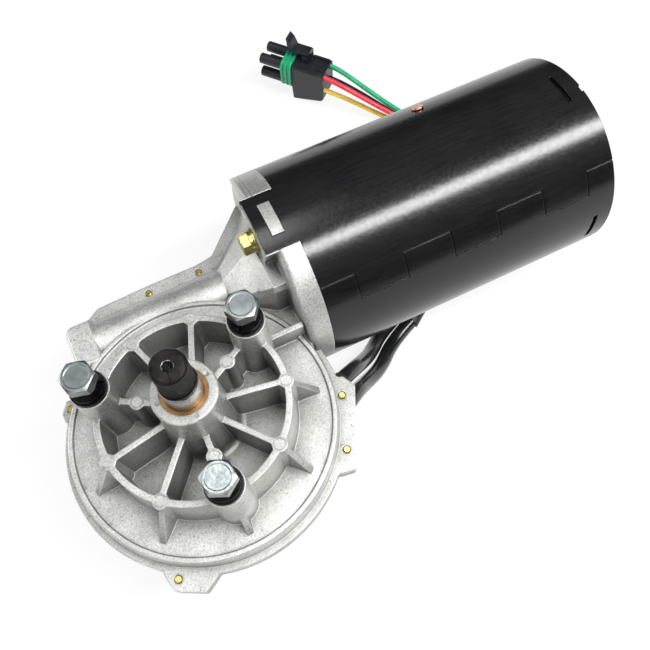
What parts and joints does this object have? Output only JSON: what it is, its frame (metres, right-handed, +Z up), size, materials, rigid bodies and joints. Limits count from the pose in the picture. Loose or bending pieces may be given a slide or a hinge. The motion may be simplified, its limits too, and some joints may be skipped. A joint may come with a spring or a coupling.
{
  "type": "wiper motor",
  "caption": "Electric wiper gear motor: cast gear case with a serrated output shaft, black motor tube at right angles to it, and a sealed harness connector.",
  "frame": {"origin": "on the output shaft's axis, level with the tops of the three mounting bosses", "axes": "+Z up the output shaft towards its serrated end, +X along the motor towards its closed end"},
  "size_m": [0.3013, 0.3168, 0.1464],
  "materials": {
    "cast_housing": "fine sand-cast and tumbled",
    "cast_cover": "fine sand-cast",
    "gasket_paper": "oiled gasket sheet",
    "screw_steel": "yellow-zinc plated",
    "bronze": "sintered, bored",
    "shaft_steel": "ground, serrated end blackened",
    "seal_rubber": "matt",
    "gear_nylon": "moulded",
    "copper": "stamped copper",
    "spring_steel": "blued",
    "laminate": "phenolic board",
    "ball_steel": "polished",
    "cage_plastic": "moulded",
    "core_steel": "stacked sheet",
    "winding_copper": "enamelled",
    "ferrite": "ground",
    "brass_sheet": "pressed",
    "carbon": "matt",
    "black_enamel": "satin gloss",
    "yellow_zinc": "yellow-zinc plated",
    "zinc": "bright zinc plated",
    "washer_black": "black finish",
    "black_sleeve": "glossy",
    "boot_plastic": "shrunk",
    "shell_plastic": "moulded",
    "green_silicone": "silicone",
    "green_wire": "wire insulation",
    "red_wire": "wire insulation",
    "yellow_wire": "wire insulation",
    "navy_wire": "wire insulation"
  },
  "bodies": {
    "housing": {"gear_housing": "cast_housing", "rear_cover": "cast_cover", "cover_gasket": "gasket_paper", "cover_screws": "screw_steel", "output_bushes": "bronze", "foot_bush": "bronze", "contact_plate": "laminate", "contact_fingers": "copper", "bearing_outer_ring": "shaft_steel", "worm_bush": "bronze", "thrust_pad": "cage_plastic", "magnets": "ferrite", "brush_plate": "laminate", "brush_boxes": "brass_sheet", "brushes": "carbon", "brush_springs": "spring_steel", "motor_tube": "black_enamel", "tube_rivet": "copper", "end_cap": "black_enamel", "rear_bush": "bronze", "flange_bolts": "yellow_zinc", "flange_flat_washers": "yellow_zinc", "flange_spring_washers": "yellow_zinc", "mounting_bolts": "zinc", "mounting_flat_washers": "washer_black", "mounting_spring_washers": "washer_black", "lead_grommets": "seal_rubber", "first_sleeve": "black_sleeve", "second_sleeve": "black_sleeve", "merge_boot": "boot_plastic", "main_sleeve": "black_sleeve", "end_boot": "boot_plastic", "connector_shell": "shell_plastic", "connector_seal": "green_silicone", "connector_terminals": "copper", "wire_green": "green_wire", "wire_red": "red_wire", "wire_yellow": "yellow_wire", "wire_black": "navy_wire"},
    "output": {"output_shaft": "shaft_steel", "seal_ring": "seal_rubber", "thrust_washer": "shaft_steel", "wheel_hub": "shaft_steel", "worm_wheel": "gear_nylon", "park_disc": "copper", "snap_ring": "spring_steel"},
    "armature": {"armature_shaft": "shaft_steel", "bearing_inner_ring": "shaft_steel", "armature_core": "core_steel", "armature_windings": "winding_copper", "commutator": "copper"},
    "bearing_cage": {"bearing_cage": "cage_plastic", "bearing_balls": "ball_steel"},
    "latch": {"connector_latch": "shell_plastic"}
  },
  "joints": [
    {"name": "output_spin", "type": "hinge", "parent": "housing", "child": "output", "pos_m": [0, 0, 0], "axis": [0, 0, 1], "continuous": true},
    {"name": "armature_spin", "type": "hinge", "parent": "housing", "child": "armature", "pos_m": [0, 0.0635, -0.05], "axis": [1, 0, 0], "continuous": true},
    {"name": "bearing_cage_spin", "type": "hinge", "parent": "housing", "child": "bearing_cage", "pos_m": [0, 0.0635, -0.05], "axis": [1, 0, 0], "continuous": true},
    {"name": "latch_lift", "type": "hinge", "parent": "housing", "child": "latch", "pos_m": [0.15604, 0.2215, -0.08], "axis": [0.7627, 0.6468, 0], "range_deg": [0, 6], "stiffness_Nm_per_rad": 0.6, "springref_deg": -1.15}
  ],
  "couplings": [
    {"joint": "armature_spin", "follows": "output_spin", "ratio": 56},
    {"joint": "bearing_cage_spin", "follows": "output_spin", "ratio": 20.62}
  ]
}
